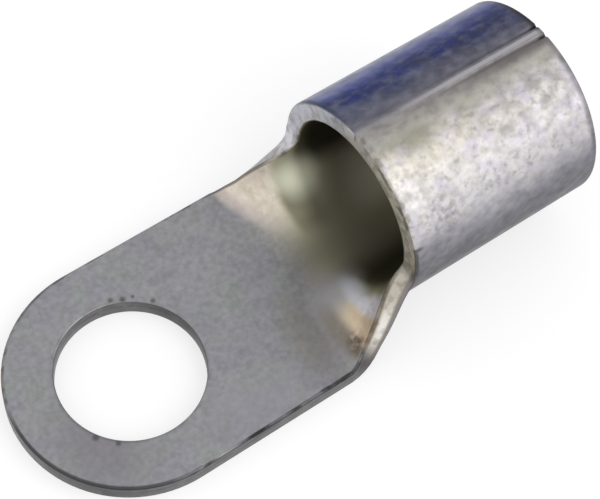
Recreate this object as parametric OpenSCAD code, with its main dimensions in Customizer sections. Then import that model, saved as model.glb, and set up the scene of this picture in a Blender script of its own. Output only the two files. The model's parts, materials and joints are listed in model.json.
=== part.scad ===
// Ring terminal for a bare cable end: one blank of tinned copper sheet, punched
// flat at the bolt end and rolled into a closed barrel at the wire end.
// The origin is the centre of the bolt hole on the underside of the tongue.
// +X runs towards the barrel and +Z points up out of the tongue.

/* [Sheet] */
// Thickness of the copper sheet
sheet_t = 1.5; // [1:0.1:2]
// Size of the broken edge all round the blank
edge_break = 0.15; // [0.05:0.05:0.3]

/* [Tongue] */
// Width of the flat tongue, and twice the radius of its round nose
tongue_w = 17.6; // [15:0.1:20]
// Diameter of the bolt hole
hole_d = 10.5; // [6:0.1:12]
// Length of the flat from the middle of the bolt hole to where the curl starts
flat_l = 12.5; // [10:0.1:18]

/* [Neck] */
// Length over which the flat sheet curls up into the round barrel
curl_l = 5.5; // [4.5:0.1:9]
// How far each side of the blank draws in before it flares to the barrel
waist = 0.4; // [0:0.05:0.8]
// Length of the rounded corner between the neck's side and the barrel's mouth
corner_l = 3.5; // [1.5:0.1:4]
// Height of that corner, measured along the curled sheet
corner_h = 2.5; // [1.5:0.1:4]

/* [Barrel] */
// Inner diameter of the barrel, which takes the bared wire
bore_d = 12; // [10:0.1:13]
// Length of the barrel
barrel_l = 15.8; // [10:0.1:24]

/* [Seam] */
// Width of the low bead of braze along the top of the barrel
bead_w = 0.5; // [0.3:0.05:1]
// Width of the fine groove on each side of the bead
groove_w = 0.4; // [0.2:0.05:0.6]
// Depth of those grooves
groove_d = 0.2; // [0.1:0.05:0.4]

/* [Hidden] */

bore_r = bore_d / 2;
barrel_r = bore_r + sheet_t;
mid_r = bore_r + sheet_t / 2;
mouth_x = flat_l + curl_l;
degrees = 180 / PI;

// Sections along the neck, and strips across each section
sections = 22;
strips = 40;
// How far the neck's solid runs on inside the barrel's wall, and how far below its faces
bite = 0.6;
seat = 0.02;

// Share of the full curl at a point along the neck, from 0 on the flat to 1 at the barrel
function curl_share(x) = let (u = min((x - flat_l) / curl_l, 1)) u * u * (3 - 2 * u);

// Curvature of the sheet's middle across the neck, and how fast it grows along it
function curl(x) = curl_share(x) / mid_r;
function curl_growth(x) = let (u = min((x - flat_l) / curl_l, 1)) 6 * u * (1 - u) / (curl_l * mid_r);

// Half width of the blank: it draws in to the waist, then flares round the corner
function waist_share(x) = min((x - flat_l) / (curl_l - corner_l), 1);
function corner_share(x) = min(max(1 - (mouth_x - x) / corner_l, 0), 1);
function half_width(x) = tongue_w / 2 - waist * pow(waist_share(x), 1.5)
    + corner_h * (1 - sqrt(1 - pow(corner_share(x), 2)));

// A point of the sheet: x along the neck, s across it along the curl, h above its middle
function sheet_point(x, s, h) =
    let (
        k = curl(x),
        bent = k * max(abs(s), 1) > 0.0001,
        turn = s * k * degrees,
        y = bent ? sin(turn) / k : s,
        rise = bent ? (1 - cos(turn)) / k : 0,
        lean = curl_growth(x) * (bent ? rise / k : s * s / 2),
        normal = [-lean, -sin(turn), cos(turn)]
    )
    [x, y, sheet_t / 2 + rise] + h * normal / norm(normal);

// Each section has one column of two points, below and above, at each of these distances
columns = strips + 3;
function across(x) =
    let (w = half_width(x), inner_w = w - edge_break)
    concat([-w], [for (j = [0 : strips]) inner_w * (2 * j / strips - 1)], [w]);

// Half the sheet's depth at a column: the outermost ones stand inside the broken edge
function half_depth(j, half_t) = j == 0 || j == columns - 1 ? half_t - edge_break : half_t;

// The outline of one section: along the underside to the right, and back across the top
function section_loop(x, half_t) =
    let (s = across(x))
    concat(
        [for (j = [0 : columns - 1]) sheet_point(x, s[j], -half_depth(j, half_t))],
        [for (j = [columns - 1 : -1 : 0]) sheet_point(x, s[j], half_depth(j, half_t))]
    );

// Sections lie closer together towards the mouth, where the corner turns
function section_x(i) = mouth_x - curl_l * pow(1 - i / sections, 2);

module neck() {
    loops = concat(
        [for (i = [0 : sections - 1]) section_loop(section_x(i), sheet_t / 2)],
        [for (x = [mouth_x, mouth_x + bite]) section_loop(x, sheet_t / 2 - seat)]
    );
    size = 2 * columns;
    last = len(loops) - 1;
    skin = [for (i = [0 : last - 1], j = [0 : size - 1])
        let (a = i * size + j, b = i * size + (j + 1) % size)
        each [[a, a + size, b], [b, a + size, b + size]]];
    start = [for (j = [0 : columns - 2]) [j, j + 1, size - 2 - j, size - 1 - j]];
    end = [for (quad = start) [for (k = [3 : -1 : 0]) quad[k] + last * size]];
    polyhedron(points = [for (loop = loops) each loop], faces = concat(start, skin, end));
}

// Half of the sheet's section from the middle out, with both corners broken
function half_section(half_w) = [
    [0, 0], [half_w - edge_break, 0], [half_w, edge_break],
    [half_w, sheet_t - edge_break], [half_w - edge_break, sheet_t], [0, sheet_t]
];

module bolt_hole() {
    cut = 1;
    hole_r = hole_d / 2;
    translate([0, 0, -cut]) cylinder(h = sheet_t + 2 * cut, r = hole_r, $fn = 96);
    rim = hole_r + edge_break;
    translate([0, 0, -cut]) cylinder(h = cut + edge_break, r1 = rim + cut, r2 = hole_r, $fn = 96);
    translate([0, 0, sheet_t - edge_break])
        cylinder(h = cut + edge_break, r1 = hole_r, r2 = rim + cut, $fn = 96);
}

module tongue() {
    difference() {
        union() {
            rotate([0, 0, 90]) rotate_extrude(angle = 180, $fn = 128)
                polygon(half_section(tongue_w / 2));
            rotate([90, 0, 90]) linear_extrude(flat_l)
                for (side = [0, 1]) mirror([side, 0]) polygon(half_section(tongue_w / 2));
        }
        bolt_hole();
    }
}

// One fine groove beside the bead, as wide as named where it meets the barrel's face
module groove() {
    over = 1;
    translate([mouth_x - over, 0, 0]) rotate([90, 0, 90]) linear_extrude(barrel_l + 2 * over)
        polygon([
            [0, barrel_r - groove_d], [groove_w, barrel_r + groove_d], [-groove_w, barrel_r + groove_d]
        ]);
}

module barrel() {
    seam_turn = (bead_w + groove_w) / 2 / barrel_r * degrees;
    translate([0, 0, barrel_r]) difference() {
        translate([mouth_x, 0, 0]) rotate([0, 90, 0]) rotate_extrude($fn = 160)
            polygon([
                [bore_r, 0], [barrel_r, 0], [barrel_r, barrel_l - edge_break],
                [barrel_r - edge_break, barrel_l], [bore_r + edge_break, barrel_l],
                [bore_r, barrel_l - edge_break]
            ]);
        for (side = [-1, 1]) rotate([side * seam_turn, 0, 0]) groove();
    }
}

module terminal() {
    color("silver") union() {
        tongue();
        neck();
        barrel();
    }
}

terminal();
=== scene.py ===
# Ring terminal for a bare cable end, in its rest pose on a pale floor.
# All lengths are in metres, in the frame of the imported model: the bolt hole's middle is the
# origin, +X runs towards the barrel and +Z points up out of the tongue.

import json
import math

import bmesh
import bpy
from mathutils import Matrix, Vector
from mathutils.kdtree import KDTree


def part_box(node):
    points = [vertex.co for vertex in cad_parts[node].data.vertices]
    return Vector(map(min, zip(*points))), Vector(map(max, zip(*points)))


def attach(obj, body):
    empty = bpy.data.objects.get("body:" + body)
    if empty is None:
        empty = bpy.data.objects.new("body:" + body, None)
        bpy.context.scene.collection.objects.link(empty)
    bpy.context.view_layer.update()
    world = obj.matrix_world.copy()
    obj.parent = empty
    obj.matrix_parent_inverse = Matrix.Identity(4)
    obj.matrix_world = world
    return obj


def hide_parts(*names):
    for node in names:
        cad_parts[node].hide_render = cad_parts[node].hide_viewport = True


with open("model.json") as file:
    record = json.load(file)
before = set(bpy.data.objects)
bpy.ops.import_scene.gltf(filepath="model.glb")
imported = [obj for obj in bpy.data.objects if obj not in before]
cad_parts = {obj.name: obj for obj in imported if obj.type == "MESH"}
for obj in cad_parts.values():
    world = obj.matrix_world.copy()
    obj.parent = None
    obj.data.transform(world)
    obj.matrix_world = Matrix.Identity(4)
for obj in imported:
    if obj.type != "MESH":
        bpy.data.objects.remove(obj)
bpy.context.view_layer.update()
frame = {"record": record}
bpy.context.scene.view_settings.view_transform = "Standard"


# ---------------------------------------------------------------------------------------------
# Camera: a long lens a hand's breadth away, above the nose of the tongue and to one side,
# looking down along the terminal into the mouth of the barrel.
# ---------------------------------------------------------------------------------------------
camera_data = bpy.data.cameras.new("camera")
camera_data.sensor_width = 36.0
camera_data.lens = 110.4
camera_data.clip_start = 0.005
camera_data.clip_end = 10.0
camera = bpy.data.objects.new("camera", camera_data)
bpy.context.scene.collection.objects.link(camera)
bpy.context.scene.camera = camera

view_forward = Vector((0.3337, 0.3796, -0.8629)).normalized()
view_right = view_forward.cross(Vector((0.4794, 0.7198, 0.5021))).normalized()
view_up = view_right.cross(view_forward)
camera_axes = Matrix((view_right, view_up, -view_forward)).transposed()
camera.matrix_world = Matrix.Translation((-0.02860, -0.04849, 0.11467)) @ camera_axes.to_4x4()


# ---------------------------------------------------------------------------------------------
# Terminal: one blank of 1.5 mm copper sheet, punched to shape and tin plated. It is made here
# as it is in the press shop: the flat blank first, with its hole, its thickness and its broken
# edges, and then the neck and barrel rolled up out of it and closed with a line of braze.
# ---------------------------------------------------------------------------------------------
MM = 0.001

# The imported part's own sizes, and the broken edges all round the blank
low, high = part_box("terminal")
mounts = {mount["name"]: mount["dims"] for mount in frame["record"]["mounts"] if "dims" in mount}
hole_r = mounts["bolt_hole"]["r_mm"] * MM
bore_r = mounts["wire_barrel"]["r_mm"] * MM
tongue_r = (high.y - low.y) / 2
barrel_r = (high.z - low.z) / 2
sheet_t = barrel_r - bore_r
mid_r = barrel_r - sheet_t / 2
edge_break = 0.15 * MM
rear_x = high.x
mouth_x = rear_x - mounts["wire_barrel"]["length_mm"] * MM - edge_break

# The neck: the length in which the sheet curls up, how far its sides draw in and how fast, and
# the rounded corner at the mouth
curl_l = 5.5 * MM
flat_l = mouth_x - curl_l
waist = 0.4 * MM
waist_power = 1.5
corner_l = 3.5 * MM
corner_h = 2.5 * MM

# The seam, half way round the barrel, with its bead of braze and the grooves beside it. The
# bead lies a little to the far side, and the grooves deepen towards the rear, at first evenly
# and then quickly at the end.
seam_s = math.pi * mid_r
bead_w = 0.5 * MM
bead_shift = 0.3 * MM
groove_w = 0.4 * MM
groove_d = 0.2 * MM
groove_even_share = 0.4
groove_end_power = 12

# Places closer than this count as the same, a smaller curl than this counts as flat, and only
# corners past this angle stay sharp
same_place = 0.002 * MM
least_curl = 1e-3
sharp_angle = math.radians(40)


def deselect():
    """Leaves nothing selected in the mesh that is being edited."""
    bpy.ops.mesh.select_all(action="DESELECT")


def select(test):
    """Selects the vertices of the mesh being edited that pass a test of their place."""
    deselect()
    blank = bmesh.from_edit_mesh(bpy.context.object.data)
    for vertex in blank.verts:
        vertex.select = bool(test(vertex.co))
    blank.select_flush_mode()
    bmesh.update_edit_mesh(bpy.context.object.data)


def select_faces(test):
    """Selects the faces of the mesh being edited that pass a test of their middle and normal."""
    deselect()
    blank = bmesh.from_edit_mesh(bpy.context.object.data)
    for face in blank.faces:
        face.select_set(bool(test(face.calc_center_median(), face.normal)))
    bmesh.update_edit_mesh(bpy.context.object.data)


def at(a, b):
    """Whether two places along an axis are the same."""
    return abs(a - b) < same_place


def neck_edge(share):
    """A point of the neck's cut edge, from the flat (0) to the barrel's mouth (1), set in from
    the outline by the broken edge: in to the waist, then out round the corner."""
    x = mouth_x - curl_l * (1 - share) ** 2
    waist_share = min((x - flat_l) / (curl_l - corner_l), 1)
    corner_share = min(max(1 - (mouth_x - x) / corner_l, 0), 1)
    corner_rest = math.sqrt(1 - corner_share ** 2)
    half_width = tongue_r - waist * waist_share ** waist_power + corner_h * (1 - corner_rest)
    if corner_rest == 0:
        return x + edge_break, half_width
    slope = corner_h * corner_share / (corner_rest * corner_l)
    if waist_share < 1:
        slope -= waist_power * waist * waist_share ** (waist_power - 1) / (curl_l - corner_l)
    across = edge_break / math.hypot(1, slope)
    return x + slope * across, half_width - across


def sheet_point(x, s, h):
    """Where a point of the flat blank goes when the neck and the barrel are rolled up: x along
    the terminal, s across the blank and h up from the middle of the sheet."""
    share = min(max((x - flat_l) / curl_l, 0), 1)
    curl = share * share * (3 - 2 * share) / mid_r
    curl_growth = 6 * share * (1 - share) / (curl_l * mid_r)
    if curl < least_curl:
        return Vector((x, s, sheet_t / 2 + h))
    turn = s * curl
    rise = (1 - math.cos(turn)) / curl
    normal = Vector((-curl_growth * rise / curl, -math.sin(turn), math.cos(turn))).normalized()
    return Vector((x, math.sin(turn) / curl, sheet_t / 2 + rise)) + h * normal


# The ring round the bolt hole, out to the radius of the nose
ring_points = 96
ring_steps = 4
ring_r = hole_r + edge_break
nose_r = tongue_r - edge_break
ring_step = (nose_r - hole_r - edge_break) / ring_steps
bpy.ops.object.select_all(action="DESELECT")
bpy.ops.mesh.primitive_circle_add(vertices=ring_points, radius=ring_r, fill_type="NOTHING")
terminal = bpy.context.object
terminal.name = "ring_terminal"
terminal.data.name = "ring_terminal"
bpy.ops.object.mode_set(mode="EDIT")
bpy.ops.mesh.select_mode(type="VERT")
for step in range(ring_steps):
    wider = 1 + ring_step / ring_r
    bpy.ops.mesh.extrude_region_move()
    bpy.ops.transform.resize(value=(wider, wider, 1), center_override=(0, 0, 0))
    ring_r *= wider

# The middle strip of the barrel, as wide as the neck where they meet
strips = ring_points // 2
barrel_rows = 34
front_x, front_w = neck_edge(1)
back_x = rear_x - edge_break
barrel_middle = ((front_x + back_x) / 2, 0, 0)
deselect()
bpy.ops.mesh.primitive_grid_add(x_subdivisions=barrel_rows, y_subdivisions=strips, size=1,
                                location=barrel_middle)
bpy.ops.transform.resize(value=(back_x - front_x, 2 * front_w, 1), center_override=barrel_middle)

# The neck, drawn forward from it row by row until it is as wide as the tongue
neck_rows = 28
select(lambda co: at(co.x, front_x))
for row in range(neck_rows - 1, -1, -1):
    next_x, next_w = neck_edge(row / neck_rows)
    bpy.ops.mesh.extrude_region_move()
    bpy.ops.transform.translate(value=(next_x - front_x, 0, 0))
    bpy.ops.transform.resize(value=(1, next_w / front_w, 1), center_override=(0, 0, 0))
    front_x, front_w = next_x, next_w

# The two wings of the barrel, drawn out to the edges that meet in the seam. The last columns,
# by their distance from the seam in millimetres, are narrow, for the bead and the grooves.
mouth_edge_x, wing_s = neck_edge(1)
fine_columns = [1.05, 0.95, 0.85, 0.75, 0.65, 0.55, 0.45, 0.35, 0.25, 0.15, 0.05, 0]
wing_columns = 20
coarse_w = (seam_s - fine_columns[0] * MM - wing_s) / wing_columns
columns = [wing_s + coarse_w * (column + 1) for column in range(wing_columns)]
columns += [seam_s - distance * MM for distance in fine_columns[1:]]
for side in (1, -1):
    select(lambda co: at(co.y, side * wing_s) and co.x > mouth_edge_x - same_place)
    reached = wing_s
    for column in columns:
        bpy.ops.mesh.extrude_region_move()
        bpy.ops.transform.translate(value=(0, side * (column - reached), 0))
        reached = column

# The flat of the tongue, bridged from the back of the ring to the first row of the neck
flat_rows = 8
select(lambda co: (at(co.xy.length, nose_r) and co.x > -same_place) or at(co.x, flat_l))
bpy.ops.mesh.bridge_edge_loops(number_cuts=flat_rows, interpolation="LINEAR")
bpy.ops.mesh.select_all(action="SELECT")
bpy.ops.mesh.normals_make_consistent(inside=False)
bpy.ops.object.mode_set(mode="OBJECT")

# The sheet's thickness, with open butt edges along the seam
bpy.ops.object.modifier_add(type="SOLIDIFY")
thickness = terminal.modifiers[-1]
thickness.thickness = sheet_t
thickness.offset = 0
bpy.ops.object.modifier_apply(modifier=thickness.name)
bpy.ops.object.mode_set(mode="EDIT")
bpy.ops.mesh.select_mode(type="FACE")
select_faces(lambda middle, normal: at(abs(middle.y), seam_s) and abs(normal.y) > 0.9)
bpy.ops.mesh.delete(type="FACE")

# The cut walls, pushed out to the outline in steps that round off both of their edges
break_steps = 3
select_faces(lambda middle, normal: abs(normal.z) < 0.5)
for step in range(break_steps):
    angle = math.pi / 2 * step / break_steps
    next_angle = math.pi / 2 * (step + 1) / break_steps
    bpy.ops.mesh.inset(thickness=edge_break * (math.cos(angle) - math.cos(next_angle)),
                       depth=edge_break * (math.sin(next_angle) - math.sin(angle)),
                       use_boundary=False, use_even_offset=True)
bpy.ops.object.mode_set(mode="OBJECT")

# Two maps for the finish: the place on the blank, and the level in the sheet beside the
# distance from the nearest cut edge, all in millimetres
points = terminal.data.vertices
cut_edge = KDTree(len(points))
for point in points:
    if abs(point.co.z) < sheet_t / 2 - edge_break * 0.9:
        cut_edge.insert((point.co.x, point.co.y, 0), point.index)
cut_edge.balance()
inset = [cut_edge.find((point.co.x, point.co.y, 0))[2] / MM for point in points]
blank_map = terminal.data.uv_layers.new(name="blank")
level_map = terminal.data.uv_layers.new(name="level")
for corner in terminal.data.loops:
    place = points[corner.vertex_index].co
    blank_map.data[corner.index].uv = (place.x / MM, place.y / MM)
    level_map.data[corner.index].uv = (place.z / MM, inset[corner.vertex_index])

# The grooves pressed into the outer face on either side of the bead, then the blank rolled up
# and its seam closed
for point in points:
    off_seam = math.copysign(seam_s - abs(point.co.y), point.co.y)
    off_groove = abs(abs(off_seam - bead_shift) - (bead_w + groove_w) / 2)
    pressed = max(1 - off_groove / (groove_w / 2), 0) * groove_d
    rearward = min(max((point.co.x - mouth_x) / (rear_x - mouth_x), 0), 1)
    pressed *= groove_even_share * rearward + (1 - groove_even_share) * rearward ** groove_end_power
    outer_share = max(-point.co.z / (sheet_t / 2), 0)
    point.co = sheet_point(point.co.x, point.co.y, point.co.z + pressed * outer_share)
bpy.ops.object.mode_set(mode="EDIT")
bpy.ops.mesh.select_all(action="SELECT")
bpy.ops.mesh.remove_doubles(threshold=0.001 * MM)
bpy.ops.object.mode_set(mode="OBJECT")
bpy.ops.object.shade_smooth_by_angle(angle=sharp_angle)
bpy.ops.object.modifier_add(type="WEIGHTED_NORMAL")
bpy.ops.object.modifier_apply(modifier=terminal.modifiers[-1].name)

# The finish: bright tin over copper, dull and cloudy on the tongue, with painted reflections on
# the facets of the neck, a painted dark blue reflection down one side of the seam, and painted
# highlights and shade on the barrel, in the bore and along the edges.
# Colours are written as on a paint chart, 0 to 255, and places in millimetres on the blank:
# along it from the middle of the hole, and across it from its middle line.
tinned = bpy.data.materials.new("tinned_copper")
tinned.use_nodes = True
nodes = tinned.node_tree.nodes
links = tinned.node_tree.links
shader = nodes["Principled BSDF"]


def tint(red, green, blue):
    """A colour from the paint chart, as the linear light that a shader works in."""
    shares = [part / 255 for part in (red, green, blue)]
    return [share / 12.92 if share < 0.04 else ((share + 0.055) / 1.055) ** 2.4
            for share in shares] + [1.0]


def feed(socket, value):
    """Gives a node's socket a number, a colour or another node's output."""
    if isinstance(value, bpy.types.NodeSocket):
        links.new(value, socket)
    else:
        socket.default_value = value


def reckon(operation, *values):
    """Works on numbers and other nodes' outputs with one operation of the Math node."""
    node = nodes.new("ShaderNodeMath")
    node.operation = operation
    for socket, value in zip(node.inputs, values):
        feed(socket, value)
    return node.outputs[0]


def times(*values):
    """All the values multiplied together, as where several masks meet."""
    product = values[0]
    for value in values[1:]:
        product = reckon("MULTIPLY", product, value)
    return product


def plus(first, second):
    return reckon("ADD", first, second)


def less(first, second):
    return reckon("SUBTRACT", first, second)


def stronger(first, second):
    return reckon("MAXIMUM", first, second)


def unsigned(value):
    return reckon("ABSOLUTE", value)


def fade(value, start, end, low=0.0, high=1.0):
    """Goes smoothly from low to high while a value goes from start to end."""
    node = nodes.new("ShaderNodeMapRange")
    node.interpolation_type = "SMOOTHSTEP"
    for name, number in (("Value", value), ("From Min", start), ("From Max", end),
                         ("To Min", low), ("To Max", high)):
        feed(node.inputs[name], number)
    return node.outputs["Result"]


def between(value, start, end, soft):
    """1 while a value lies from start to end, and fading out over a soft border."""
    return times(fade(value, start - soft, start + soft), fade(value, end + soft, end - soft))


def spot(at_x, at_s, long, wide, soft=0.5):
    """An oval patch on the blank, 1 in its middle and fading out at its border."""
    across_x = reckon("DIVIDE", less(blank_x, at_x), long / 2)
    across_s = reckon("DIVIDE", less(blank_s, at_s), wide / 2)
    squares = plus(times(across_x, across_x), times(across_s, across_s))
    return fade(reckon("SQRT", squares), 1 + soft, 1 - soft)


def clouds(size, detail=2.0, along=1.0, seed=0.0):
    """Cloudy noise round 0.5 with blotches of a size, drawn out along the terminal."""
    place = nodes.new("ShaderNodeMapping")
    place.inputs["Scale"].default_value = (1 / (MM * along), 1 / MM, 1 / MM)
    place.inputs["Location"].default_value = (seed, seed * 1.7, seed * 2.3)
    links.new(coordinates.outputs["Object"], place.inputs["Vector"])
    node = nodes.new("ShaderNodeTexNoise")
    node.inputs["Scale"].default_value = 1 / size
    node.inputs["Detail"].default_value = detail
    links.new(place.outputs[0], node.inputs["Vector"])
    return node.outputs["Fac"]


def waves(size, height, detail=2.0, along=1.0, seed=0.0):
    """Cloudy noise round 0, to shift the border of a patch in and out."""
    return times(less(clouds(size, detail, along, seed), 0.5), height)


def blotches(size, cover, soft=0.06, detail=2.0, along=1.0, seed=0.0):
    """Noise cut off at a height, so that blotches cover about a share of the surface."""
    noise_spread = 0.33
    height = 0.5 + noise_spread * (0.5 - cover)
    return fade(clouds(size, detail, along, seed), height - soft, height + soft)


def paint(under, over, share):
    """Lays a colour over another as thickly as its share says."""
    node = nodes.new("ShaderNodeMix")
    node.data_type = "RGBA"
    feed(node.inputs[0], share)
    feed(node.inputs[6], under)
    feed(node.inputs[7], over)
    return node.outputs[2]


def coats(under, *layers):
    """Lays several colours over each other in turn, each as thickly as its share says."""
    for colour, share in layers:
        under = paint(under, colour, share)
    return under


def colour_bands(value, stops):
    """Colours that run into each other along a value, each at its own distance."""
    node = nodes.new("ShaderNodeValToRGB")
    reach = stops[-1][0]
    feed(node.inputs[0], reckon("DIVIDE", value, reach))
    node.color_ramp.elements[1].position = 1.0
    while len(node.color_ramp.elements) < len(stops):
        node.color_ramp.elements.new(0.5)
    for element, (distance, colour) in zip(node.color_ramp.elements, stops):
        element.position = distance / reach
        element.color = colour
    return node.outputs[0]


def map_axes(map_name):
    """The two numbers that one of the terminal's maps holds at each place."""
    place = nodes.new("ShaderNodeUVMap")
    place.uv_map = map_name
    axes = nodes.new("ShaderNodeSeparateXYZ")
    links.new(place.outputs[0], axes.inputs[0])
    return axes.outputs[0], axes.outputs[1]


coordinates = nodes.new("ShaderNodeTexCoord")
blank_x, blank_s = map_axes("blank")
level, from_edge = map_axes("level")

# Where a place lies: on which face and side of the blank, and how far from its features
mouth = mouth_x / MM
rear = rear_x / MM
seam = seam_s / MM
inside = fade(level, -0.2, 0.2)
outside = less(1.0, inside)
near_side = fade(blank_s, 0.5, -0.5)
far_side = less(1.0, near_side)
from_middle = unsigned(blank_s)
from_seam = less(seam, from_middle)
past_seam = times(from_seam, fade(near_side, 0.4, 0.6, 1, -1))
past_bead = unsigned(less(past_seam, bead_shift / MM))
from_hole = reckon("SQRT", plus(times(blank_x, blank_x), times(blank_s, blank_s)))
outer_skin = fade(level, -0.5, -0.62)

# The dull tin of the tongue
finish = coats(
    tint(144, 144, 147),
    # A little browner towards the neck
    (tint(138, 138, 139), fade(blank_x, 7, 13)),
    # Lilac, green, dark and pale clouds
    (tint(139, 135, 151), times(blotches(2.6, 0.35, 0.12, seed=3), 0.45)),
    (tint(144, 151, 141), times(blotches(3.0, 0.3, 0.12, seed=11), 0.45)),
    (tint(122, 120, 125), times(blotches(1.4, 0.35, 0.15, 3, seed=13), 0.35)),
    (tint(160, 159, 163), times(blotches(1.1, 0.3, 0.15, 3, seed=17), 0.3)),
    # A fine mottle, dark and pale
    (tint(118, 116, 118), times(blotches(0.4, 0.4, 0.2, 2, seed=23), 0.35)),
    (tint(166, 166, 170), times(blotches(0.45, 0.4, 0.2, 2, seed=31), 0.35)),
    # A dark patch on the nose, a pale one by the near edge and a brown one by the neck
    (tint(124, 121, 126), times(spot(-4.5, -3.5, 5, 7, 0.7), 0.55)),
    (tint(152, 150, 158), times(spot(6, -7, 7, 3, 0.8), 0.5)),
    (tint(130, 127, 120), times(spot(11.8, -5, 3.4, 6, 0.8), 0.5)))

# Small marks that the bolt and its washer left round the hole
bolt_marks = ((1.75, 5.3, 0.35), (2.5, 4.9, 0.4), (4.2, 3.65, 0.35),
              (-4.7, -2.95, 0.45), (-3.65, -4.15, 0.35), (3.2, 4.7, 0.25))
for mark_x, mark_s, mark_size in bolt_marks:
    mark = spot(mark_x, mark_s, mark_size, mark_size, 0.8)
    finish = paint(finish, tint(76, 75, 72), times(mark, 0.75))

# Round the outside of the barrel, by the distance from the seam, painted reflection and shade:
# dark and then blue down the far side, and a painted highlight of bright tin down the near side,
# darker again further round
from_seam_waved = plus(from_seam, plus(waves(2.5, 1.8, 3.0, 1.6, 41), waves(0.6, 1.2, seed=43)))
far_painted_reflection = colour_bands(from_seam_waved, [
    (0.0, tint(110, 108, 116)),
    (0.9, tint(102, 102, 114)),
    (1.6, tint(92, 94, 112)),
    (2.2, tint(74, 80, 107)),
    (2.8, tint(48, 57, 97)),
    (3.6, tint(34, 47, 103)),
    (4.1, tint(60, 72, 133)),
    (4.8, tint(88, 95, 147)),
    (5.6, tint(112, 116, 150)),
    (6.6, tint(148, 149, 167)),
    (7.8, tint(156, 156, 168)),
    (10.0, tint(140, 140, 146)),
    (seam, tint(136, 136, 140)),
])
near_painted_highlight_and_shade = colour_bands(from_seam_waved, [
    (0.0, tint(150, 147, 144)),
    (0.8, tint(166, 163, 156)),
    (1.5, tint(172, 168, 157)),
    (2.2, tint(186, 180, 168)),
    (3.0, tint(194, 188, 177)),
    (3.8, tint(182, 177, 171)),
    (5.0, tint(186, 183, 184)),
    (6.0, tint(200, 198, 201)),
    (6.8, tint(200, 198, 202)),
    (7.6, tint(176, 174, 179)),
    (8.4, tint(150, 149, 155)),
    (9.6, tint(122, 121, 127)),
    (10.6, tint(102, 101, 107)),
    (11.6, tint(88, 86, 92)),
    (14.0, tint(108, 107, 111)),
    (seam, tint(136, 136, 140)),
])
# The near side under the painted highlight
painted_highlight_side = times(near_side, between(from_seam, 1.4, 7.6, 0.9))
dark_side = less(1.0, painted_highlight_side)
pits = stronger(times(blotches(0.5, 0.06, 0.14, 2, seed=57), painted_highlight_side),
                times(blotches(0.4, 0.4, 0.15, 1, seed=63), spot(20.6, -14.6, 3.2, 2.6, 0.5)))
barrel = coats(
    far_painted_reflection,
    (near_painted_highlight_and_shade, stronger(near_side, fade(past_seam, 0.8, 0.0))),
    # Painted reflection, darker towards the rear, with brown and deep blue patches
    (tint(40, 46, 82),
     times(between(from_seam, 1.6, 4.4, 0.8), outside, fade(blank_x, 20, 31, 0, 0.4))),
    (tint(66, 58, 60),
     times(blotches(0.9, 0.3, 0.15, 3, 1.3, seed=49), between(from_seam, 0.8, 3.2, 0.4),
           fade(blank_x, 21, 28, 0.1, 0.5), far_side)),
    (tint(26, 40, 112),
     times(blotches(1.3, 0.35, 0.12, 2, 1.5, seed=47), between(from_seam, 2.6, 4.6, 0.5),
           far_side, 0.5)),
    # The painted highlight on the near side, duller towards the rear, with cream, lilac and grey
    # speckles
    (tint(152, 149, 152), times(painted_highlight_side, fade(blank_x, 25, 33, 0, 0.3))),
    (tint(226, 222, 216), times(blotches(0.9, 0.4, 0.2, 3, 1.2, seed=51), painted_highlight_side, 0.5)),
    (tint(194, 186, 204), times(blotches(1.3, 0.3, 0.15, 2, seed=53), painted_highlight_side, 0.5)),
    (tint(138, 135, 132), times(blotches(0.5, 0.3, 0.2, 3, 1.2, seed=55), painted_highlight_side, 0.45)),
    # Fine grey pits, pale glints of painted highlight behind the mouth and an olive stain beside
    # the seam
    (tint(108, 105, 104), times(pits, 0.45)),
    (tint(240, 238, 228),
     times(blotches(0.5, 0.35, 0.15, 2, seed=65), fade(blank_x, 20.2, 18.6),
           between(blank_s, -18.8, -14.5, 0.6), 0.4)),
    (tint(118, 118, 92), times(near_side, spot(21.2, -19.4, 2.6, 1.6, 0.8), 0.5)),
    # Dark and pale streaks on all the rest
    (tint(60, 60, 70), times(blotches(0.6, 0.3, 0.2, 3, 1.4, seed=58), dark_side, 0.35)),
    (tint(164, 162, 172), times(blotches(0.8, 0.25, 0.2, 3, 1.4, seed=59), dark_side, 0.2)),
    # The grooves in painted shade and the sheet beside them, both darker towards the rear, and the
    # bright bead
    (tint(64, 60, 66), times(between(past_bead, 0.32, 0.5, 0.12), fade(blank_x, 20, 31, 0, 0.6))),
    (tint(98, 93, 95),
     times(near_side, fade(from_seam, 1.1, 0.4), fade(blank_x, 21, 32, 0, 0.75))),
    (tint(166, 163, 171), times(fade(past_bead, 0.19, 0.08), fade(blank_x, 20, 26, 0.15, 0.95))))
finish = paint(finish, barrel, times(outside, fade(blank_x, 11, 17)))

# Inside the neck and the bore: olive in the bore, with painted light along its far side and dark
# painted shade behind the two facets where the sheet was stretched
facet_x = plus(blank_x, waves(1.6, 0.6, seed=71))
past_start = plus(facet_x, less(times(blank_s, 0.28), 15.5))
past_end = less(facet_x, plus(times(blank_s, 0.13), 15.48))
near_past_end = less(facet_x, less(15.55, times(blank_s, 0.15)))
bore = times(inside, fade(blank_x, 13, 16.6))
far_painted_shade = times(fade(blank_s, 6.2, 8.6), fade(blank_x, 17.5, 19.2))
near_painted_shade = times(fade(blank_s, -0.5, -4.5), fade(near_past_end, -0.2, 1.1))
# Painted shade in the hollow between the far facet and the throat
painted_valley_shade = times(inside, fade(blank_x, 15.8, 16.5), fade(blank_x, 18.9, 17.0),
               between(blank_s, 2.4, 6.2, 0.9))
finish = coats(
    finish,
    (tint(170, 166, 144), bore),
    # Painted light along the far side of the bore
    (tint(206, 202, 184),
     times(inside, between(blank_s, 1.5, 6.5, 1.2), fade(blank_x, 19.5, 22), 0.7)),
    # Painted shade behind the facets
    (tint(80, 78, 64), times(bore, stronger(far_painted_shade, near_painted_shade))),
    (tint(112, 108, 90), times(painted_valley_shade, 0.7)))
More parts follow.
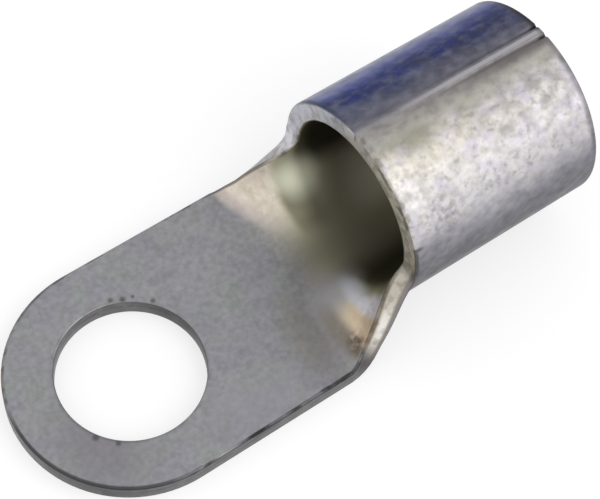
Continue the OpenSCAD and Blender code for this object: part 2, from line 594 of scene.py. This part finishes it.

# The far facet, a painted reflection: cream, with pale and tan mottles and a mauve border in front
far_facet_reflection = times(inside, fade(past_start, -0.7, 0.7), fade(past_end, 0.3, -0.3),
                  fade(blank_s, 2.0, 6.6))
far_facet_reflection_colour = coats(
    tint(218, 208, 192),
    (tint(240, 232, 222), times(blotches(0.5, 0.4, 0.2, seed=75), 0.5)),
    (tint(184, 172, 156), times(blotches(0.7, 0.3, 0.15, seed=77), 0.4)))
finish = coats(
    finish,
    (far_facet_reflection_colour, far_facet_reflection),
    (tint(176, 160, 166), times(far_facet_reflection, fade(past_start, 1.2, 0.2), 0.5)))

# The near facet, a painted reflection: peach in front and white behind, in a painted grey and brown
# shade, with a painted lilac sheen beside it and a brown spot at its corner
near_facet_reflection = times(inside, fade(facet_x, 14.0, 14.9), fade(near_past_end, 0.3, -0.3),
                   fade(blank_s, -3.4, -7.0))
near_facet_reflection_colour = coats(
    tint(212, 193, 166),
    (tint(230, 228, 234), fade(facet_x, 15.4, 16.0)),
    (tint(186, 165, 144), times(blotches(0.6, 0.3, 0.15, seed=79), 0.35)))
finish = coats(
    finish,
    (tint(142, 141, 145), times(inside, spot(15.2, -3.2, 4.2, 3.4, 0.5), 0.8)),
    (tint(116, 106, 92), times(inside, spot(13.8, -5.6, 1.6, 4.0, 0.6), 0.6)),
    (near_facet_reflection_colour, near_facet_reflection),
    (tint(176, 178, 190), times(inside, spot(16.3, -4.6, 1.3, 3.6, 0.6), 0.7)),
    (tint(104, 88, 74),
     times(inside, spot(14.2, -7.5, 1.1, 1.7, 0.7), blotches(0.5, 0.7, 0.2, seed=73))))

# A painted highlight: the bright spot in the far side of the throat, which the light catches
painted_throat_highlight = spot(17.75, 6.8, 2.2, 3.0, 0.85)
finish = paint(finish, tint(246, 248, 226), times(inside, painted_throat_highlight, 0.95))

# The sheared walls of the tongue: plain copper-grey, dark on the nose, with a torn line
wall = times(fade(from_edge, 0.12, 0.02), fade(level, -0.72, -0.6), fade(level, 0.74, 0.66))
torn_line = times(between(level, 0.05, 0.3, 0.12), blotches(0.9, 0.5, 0.15, 3, 2.0, seed=85))
tongue_wall = coats(
    tint(119, 117, 118),
    (tint(101, 99, 100), blotches(0.8, 0.5, 0.3, 3, seed=81)),
    (tint(80, 78, 79), times(spot(-6.5, -5.0, 6, 7, 0.6), 0.6)),
    (tint(70, 68, 70), times(torn_line, 0.6)))

# The walls of the neck, round to the mouth and the rear of the barrel: cream on the near side
# with a painted highlight and painted shade on its outer half, and lilac-grey on the far side
near_wall = coats(
    tint(192, 186, 174),
    (tint(232, 225, 206), fade(blank_s, -9.5, -12)),
    # A painted highlight on the near wall
    (tint(232, 229, 222),
     times(spot(15.4, -8.9, 1.6, 2.4, 0.8), between(level, -0.25, 0.4, 0.2))),
    # Painted shade on the outer half of the near wall by the mouth
    (tint(118, 114, 118), times(fade(level, -0.15, -0.45), fade(blank_s, -12, -10.5), 0.8)))
far_wall = coats(
    tint(208, 206, 213),
    (tint(188, 190, 198), fade(blank_s, 10, 12)),
    (tint(160, 158, 156), fade(blank_x, 17.6, 16.4, 0, 0.8)))
neck_wall = coats(
    far_wall,
    (near_wall, fade(blank_s, 3, -3)),
    # Paler beside the seam, with brown mottles and a broken line down the near side
    (tint(210, 206, 200), fade(from_seam, 2.5, 0.4)),
    (tint(120, 108, 98),
     times(blotches(0.6, 0.3, 0.15, 3, seed=83), fade(blank_x, 20, 30, 0.5, 0.15))),
    (tint(100, 88, 82),
     times(blotches(0.7, 0.5, 0.1, 2, seed=87), between(level, -0.55, -0.2, 0.1),
           between(blank_s, -19.5, -14, 0.5), fade(blank_x, 20, 18.5), 0.7)),
    # The seam's own dark line, and a bright inner edge round the mouth
    (tint(84, 78, 72), times(between(past_seam, 0.28, 0.42, 0.1), fade(level, 0.1, -0.2), 0.8)),
    (tint(206, 201, 192),
     times(between(level, 0.52, 0.8, 0.06), between(blank_x, mouth - 0.5, mouth + 2, 0.7),
           fade(from_middle, 10.5, 14.5, 0.3, 0.8))),
    # Plain grey at the rear
    (tint(182, 179, 176), fade(blank_x, 24, 32, 0, 0.75)))
wall_colour = coats(
    tongue_wall,
    (neck_wall, fade(facet_x, 13.8, 14.8)),
    (tint(62, 58, 56), times(between(facet_x, 13.2, 13.9, 0.4), near_side, 0.5)))
finish = paint(finish, wall_colour, wall)

# A painted shade line along the inner edge of the walls, broken up by noise and strongest on the
# nose, on the near edge of the tongue and on the far wing of the neck, and faint round the hole
painted_edge_shade = times(fade(from_edge, 0.3, 0.14), between(level, 0.58, 0.9, 0.1))
broken = blotches(0.9, 0.45, 0.15, 3, 1.5, seed=91)
on_nose = times(fade(blank_x, 1, -3), fade(blank_s, 3, 0))
on_near_edge = times(fade(blank_s, -6.5, -8), between(blank_x, 2.5, 13.5, 1.5))
on_far_wing = times(fade(blank_s, 6.5, 7.5), between(blank_x, 12.6, 16.6, 0.5))
line_strength = stronger(times(broken, 0.65), times(on_nose, 0.8))
line_strength = stronger(line_strength, times(on_near_edge, fade(broken, 0, 1, 0.6, 0.95)))
line_strength = stronger(line_strength, times(on_far_wing, 0.7))
line_strength = times(line_strength, fade(fade(from_hole, 6.4, 5.8), 0, 1, 1, 0.3))

# Burrs on the near edge, painted shade on the far wall of the hole, and a tan line of painted shade
# up the near wing
burr = times(blotches(1.1, 0.35, 0.08, 2, 2.0, seed=97), fade(from_edge, 0.35, 0.2),
             fade(level, 0.3, 0.5), fade(blank_s, -7.2, -8.2), between(blank_x, -1.5, 13, 1))
hole_far_wall_shade = times(wall, fade(from_middle, 5.4, 4.6), fade(blank_x, 2.5, 5.0))
wing_shade_line = times(between(level, 0.5, 0.9, 0.1), fade(from_edge, 0.35, 0.15), near_side,
                  between(blank_x, 14.6, 17.8, 0.4))

# Painted shade lines round the outer edge of the mouth and the rear, painted shade in a nick in the
# mouth's near side, and painted shade at the ends of the grooves
mouth_shade_line = times(between(blank_x, mouth - 0.1, mouth + 0.3, 0.15), outer_skin)
mouth_nick_shade = times(between(blank_x, mouth - 0.1, mouth + 0.2, 0.08),
                   between(blank_s, -13.1, -10.8, 0.3))
mouth_nick_shade = stronger(mouth_nick_shade, spot(mouth + 0.2, -13.15, 0.9, 0.3, 0.6))
rear_shade_line = times(fade(blank_x, rear - 0.6, rear - 0.2), outer_skin)
groove_end_shade = times(between(past_bead, 0.35, 0.55, 0.12), fade(blank_x, rear - 0.9, rear - 0.4),
                    outside)
finish = coats(
    finish,
    (tint(50, 48, 50), times(painted_edge_shade, line_strength)),
    (tint(44, 42, 42), times(burr, 0.85)),
    (tint(52, 50, 50), times(hole_far_wall_shade, fade(blank_x, 6.5, 6.0), 0.5)),
    (tint(98, 86, 68), times(wing_shade_line, 0.65)),
    (tint(62, 68, 86), times(mouth_shade_line, between(blank_s, 14.5, 19.2, 1.2), 0.75)),
    (tint(96, 88, 78), times(mouth_shade_line, near_side, blotches(0.7, 0.35, 0.1, 2, seed=93), 0.5)),
    (tint(70, 70, 66), times(mouth_nick_shade, outer_skin, 0.75)),
    (tint(112, 108, 118), times(rear_shade_line, 0.5)),
    (tint(52, 50, 56), times(rear_shade_line, blotches(1.5, 0.5, 0.2, 2, seed=95), 0.5)),
    (tint(34, 32, 38), times(rear_shade_line, between(past_seam, 0.5, 4.6, 0.3), 0.75)),
    (tint(24, 22, 22), times(groove_end_shade, 0.85)))

# Satin tin, a little rougher in the throat under the painted highlight, with a fine grain and the
# pits in relief
satin = 0.42
cloudy = times(outside, less(clouds(0.9, 3.0, seed=61), 0.5), 0.3)
dull_throat = times(inside, spot(18.1, 6.6, 3.4, 4.4, 0.7), 0.2)
grain = nodes.new("ShaderNodeBump")
grain.inputs["Strength"].default_value = 0.5
grain.inputs["Distance"].default_value = 0.008 * MM
feed(grain.inputs["Height"], less(clouds(0.28, 3.0, seed=67), times(pits, 0.7)))
feed(shader.inputs["Base Color"], finish)
shader.inputs["Metallic"].default_value = 1.0
feed(shader.inputs["Roughness"], plus(plus(cloudy, dull_throat), satin))
feed(shader.inputs["Normal"], grain.outputs["Normal"])
terminal.data.materials.clear()
terminal.data.materials.append(tinned)
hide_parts("terminal")
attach(terminal, "root")


# ---------------------------------------------------------------------------------------------
# Floor and light: a plain white sheet under the terminal, a white room, and one large soft
# lamp above the camera's right, which runs a broad highlight along the barrel.
# ---------------------------------------------------------------------------------------------
def show_white(material_nodes, material_links, output, lit_surface, glow):
    """Lets the camera, and what mirrors or passes its view, see a lit surface with some glow."""
    path = material_nodes.new("ShaderNodeLightPath")
    camera_or_mirror = material_nodes.new("ShaderNodeMath")
    camera_or_mirror.operation = "MAXIMUM"
    seen = material_nodes.new("ShaderNodeMath")
    seen.operation = "MAXIMUM"
    choice = material_nodes.new("ShaderNodeMixShader")
    material_links.new(path.outputs["Is Camera Ray"], camera_or_mirror.inputs[0])
    material_links.new(path.outputs["Is Glossy Ray"], camera_or_mirror.inputs[1])
    material_links.new(camera_or_mirror.outputs[0], seen.inputs[0])
    material_links.new(path.outputs["Is Transmission Ray"], seen.inputs[1])
    material_links.new(seen.outputs[0], choice.inputs["Fac"])
    material_links.new(lit_surface.outputs[0], choice.inputs[1])
    material_links.new(glow.outputs[0], choice.inputs[2])
    material_links.new(choice.outputs[0], output.inputs["Surface"])


bpy.ops.object.select_all(action="DESELECT")
floor_gap = 0.02 * MM
bpy.ops.mesh.primitive_plane_add(size=1.2, location=(0, 0, -floor_gap))
floor = bpy.context.object
floor.name = "floor"
bpy.ops.object.transform_apply(location=True, rotation=True, scale=True)
paper = bpy.data.materials.new("white_paper")
paper.use_nodes = True
nodes = paper.node_tree.nodes
links = paper.node_tree.links
sheet = nodes["Principled BSDF"]
sheet.inputs["Base Color"].default_value = (0.42, 0.42, 0.42, 1)
sheet.inputs["Roughness"].default_value = 1.0
sheet.inputs["Specular IOR Level"].default_value = 0.0
backlight = nodes.new("ShaderNodeEmission")
backlight.inputs["Strength"].default_value = 0.65
lit_and_backlit = nodes.new("ShaderNodeAddShader")
links.new(sheet.outputs[0], lit_and_backlit.inputs[0])
links.new(backlight.outputs[0], lit_and_backlit.inputs[1])
show_white(nodes, links, nodes["Material Output"], sheet, lit_and_backlit)
floor.data.materials.append(paper)

room = bpy.data.worlds.new("white_room")
room.use_nodes = True
nodes = room.node_tree.nodes
links = room.node_tree.links
walls = nodes["Background"]
walls.inputs["Color"].default_value = (1, 1, 1, 1)
walls.inputs["Strength"].default_value = 0.8
backdrop = nodes.new("ShaderNodeBackground")
backdrop.inputs["Color"].default_value = (1, 1, 1, 1)
backdrop.inputs["Strength"].default_value = 1.0
show_white(nodes, links, nodes["World Output"], walls, backdrop)
bpy.context.scene.world = room

lamp_direction = Vector((0.42, -0.60, 0.68)).normalized()
lamp_distance = 0.4
lamp_data = bpy.data.lights.new("softbox", "AREA")
lamp_data.shape = "DISK"
lamp_data.size = 0.4
lamp_data.energy = 0.4
lamp = bpy.data.objects.new("softbox", lamp_data)
bpy.context.scene.collection.objects.link(lamp)
lamp_turn = lamp_direction.to_track_quat("Z", "Y").to_matrix().to_4x4()
lamp.matrix_world = Matrix.Translation(lamp_direction * lamp_distance) @ lamp_turn
